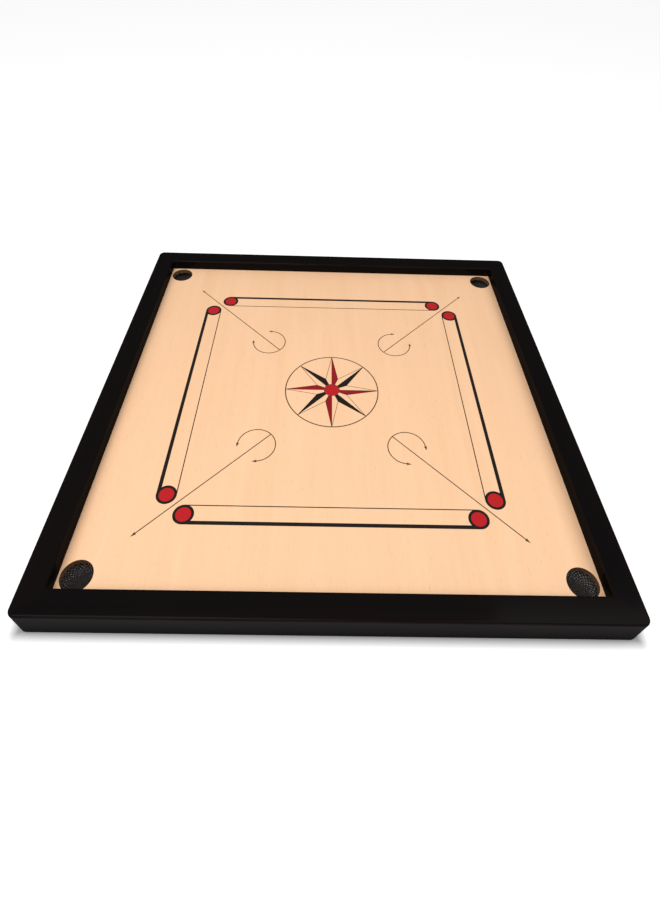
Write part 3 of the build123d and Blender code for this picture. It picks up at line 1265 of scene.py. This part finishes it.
@dataclass
class Studio:
    """A pale floor with a painted contact shadow round the board, soft light and the camera."""

    centre: Vector
    half_outer: float
    camera_place: tuple[float, float, float] = (-22.5 * MM, -659.8 * MM, 735.3 * MM)
    pitch: float = math.radians(42.0)
    yaw: float = math.radians(1.32)
    roll: float = math.radians(2.19)
    focal_pixels: float = 533.5
    shift: float = -0.13
    long_side: float = 900.0
    sensor: float = 36.0
    clip: tuple[float, float] = (0.02, 50.0)
    key: tuple[float, ...] = (-0.8, -0.8, 2.0)
    key_size: float = 1.8
    key_power: float = 37.0
    fill: tuple[float, ...] = (1.5, -0.5, 2.1)
    fill_size: float = 1.9
    fill_power: float = 23.0
    floor_size: float = 16.0
    floor_drop: float = 0.02 * MM
    floor_grey: float = 0.35
    floor_glow: float = 0.80
    # Width of the painted contact shadow: the floor's glow grows from nothing at the board's outline to full
    # over this distance.
    painted_shadow_reach: float = 15.0 * MM
    sky: float = 0.36

    def build(self) -> None:
        """Sets up the floor, the lights and the camera."""
        self.floor()
        self.light("key", self.key, self.key_size, self.key_power)
        self.light("fill", self.fill, self.fill_size, self.fill_power)
        world = bpy.data.worlds.new("studio")
        world.use_nodes = True
        background = world.node_tree.nodes["Background"]
        graph = Graph(world.node_tree)
        graph.feed(background.inputs["Color"], WHITE)
        seen = graph.add("ShaderNodeLightPath").outputs["Is Camera Ray"]
        graph.feed(background.inputs["Strength"], graph.ramp(seen, 0.0, 1.0, self.sky, 1.0))
        bpy.context.scene.world = world
        bpy.context.scene.view_settings.view_transform = "Standard"
        self.camera()

    def floor(self) -> None:
        """Lays the floor, a single sheet that is seen from above only."""
        half = self.floor_size / 2
        sheet = bpy.data.meshes.new("floor")
        ring = [(-half, -half), (half, -half), (half, half), (-half, half)]
        sheet.from_pydata([(x, y, -self.floor_drop) for x, y in ring], [], [(0, 1, 2, 3)])
        sheet.materials.append(self.floor_material())
        floor = bpy.data.objects.new("floor", sheet)
        bpy.context.scene.collection.objects.link(floor)
        floor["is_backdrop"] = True

    def floor_material(self) -> Material:
        """Matt floor that glows softly outside the board's outline, and lets light through below it. The
        glow fades out towards the board's outline and is off beneath it: a painted contact shadow round the
        board and painted shade under it.

        Returns:
            The material.
        """
        material = bpy.data.materials.new("pale_floor")
        material.use_nodes = True
        nodes = material.node_tree.nodes
        shader = nodes["Principled BSDF"]
        graph = Graph(material.node_tree)
        for name, value in (("Base Color", (self.floor_grey,) * 3), ("Roughness", 0.9),
                            ("Specular IOR Level", 0.1), ("Emission Strength", 1.0)):
            graph.feed(shader.inputs[name], value)
        x, y, _ = graph.add("ShaderNodeSeparateXYZ", {0: graph.spot()}).outputs
        past = [graph.math("MAXIMUM", graph.minus(graph.math("ABSOLUTE", axis), self.half_outer), 0.0)
                for axis in (x, y)]
        beyond = graph.add("ShaderNodeCombineXYZ", {0: past[0], 1: past[1]}).outputs[0]
        beyond = graph.vectors("LENGTH", a=beyond).outputs["Value"]
        # Painted contact shadow: the glow is nothing at the board's outline and beneath it, and grows to
        # full over the shadow's width.
        glow = graph.times(graph.ramp(beyond, 0.0, self.painted_shadow_reach), self.floor_glow)
        glow = graph.add("ShaderNodeCombineColor", {0: glow, 1: glow, 2: glow}).outputs[0]
        graph.feed(shader.inputs["Emission Color"], glow)
        back = graph.add("ShaderNodeNewGeometry").outputs["Backfacing"]
        unseen = graph.minus(1.0, graph.add("ShaderNodeLightPath").outputs["Is Camera Ray"])
        beneath = graph.math("LESS_THAN", beyond, MM)
        open_part = graph.math("MAXIMUM", back, graph.times(unseen, beneath))
        clear = graph.add("ShaderNodeBsdfTransparent").outputs[0]
        blend = graph.add("ShaderNodeMixShader", {0: open_part, 1: shader.outputs[0], 2: clear}).outputs[0]
        graph.feed(nodes["Material Output"].inputs["Surface"], blend)
        return material

    def light(self, name: str, place: Sequence[float], size: float, power: float) -> None:
        """Hangs one soft square lamp that faces the board.

        Args:
            name: the lamp's name.
            place: where it hangs, in metres.
            size: its side, in metres.
            power: its power, in watts.
        """
        lamp = bpy.data.lights.new(name, "AREA")
        lamp.size, lamp.energy = size, power
        hung = bpy.data.objects.new(name, lamp)
        hung.location = place
        hung.rotation_euler = (self.centre - Vector(place)).to_track_quat("-Z", "Y").to_euler()
        bpy.context.scene.collection.objects.link(hung)

    def camera(self) -> None:
        """Sets the camera in front of the board and above it."""
        lens = bpy.data.cameras.new("camera")
        lens.sensor_width = self.sensor
        lens.lens = self.focal_pixels * self.sensor / self.long_side
        lens.shift_y = self.shift
        lens.clip_start, lens.clip_end = self.clip
        camera = bpy.data.objects.new("camera", lens)
        camera.location = self.centre + Vector(self.camera_place)
        level = math.cos(self.pitch)
        ahead = Vector((math.sin(self.yaw) * level, math.cos(self.yaw) * level, -math.sin(self.pitch)))
        camera.rotation_mode = "QUATERNION"
        rolled = Matrix.Rotation(self.roll, 4, "Z").to_quaternion()
        camera.rotation_quaternion = ahead.to_track_quat("-Z", "Y") @ rolled
        bpy.context.scene.collection.objects.link(camera)
        bpy.context.scene.camera = camera


def corners_of(box: Iterable[Vector]) -> list[list[float]]:
    """A box's two corners as plain lists."""
    return [[float(value) for value in corner] for corner in box]


def main() -> None:
    """Builds the board's looks round the CAD frame."""
    logging.basicConfig(level=logging.INFO, format="%(message)s")
    cad_box = corners_of(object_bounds())
    rail_low, rail_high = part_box("rail_front")
    panel_low, panel_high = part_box("playing_panel")
    half_outer = cad_box[1][0]
    half_inner = half_outer - (rail_high[1] - rail_low[1])
    centre = Vector((0.0, 0.0, panel_high[2]))
    Studio(centre, half_outer).build()
    Woodwork(half_outer, half_inner, rail_high[2], panel_high[2], panel_high[2] - panel_low[2]).dress()
    Ironmongery().dress()
    Markings(panel_high[2]).build()
    PocketNets().build()


if __name__ == "__main__":
    main()
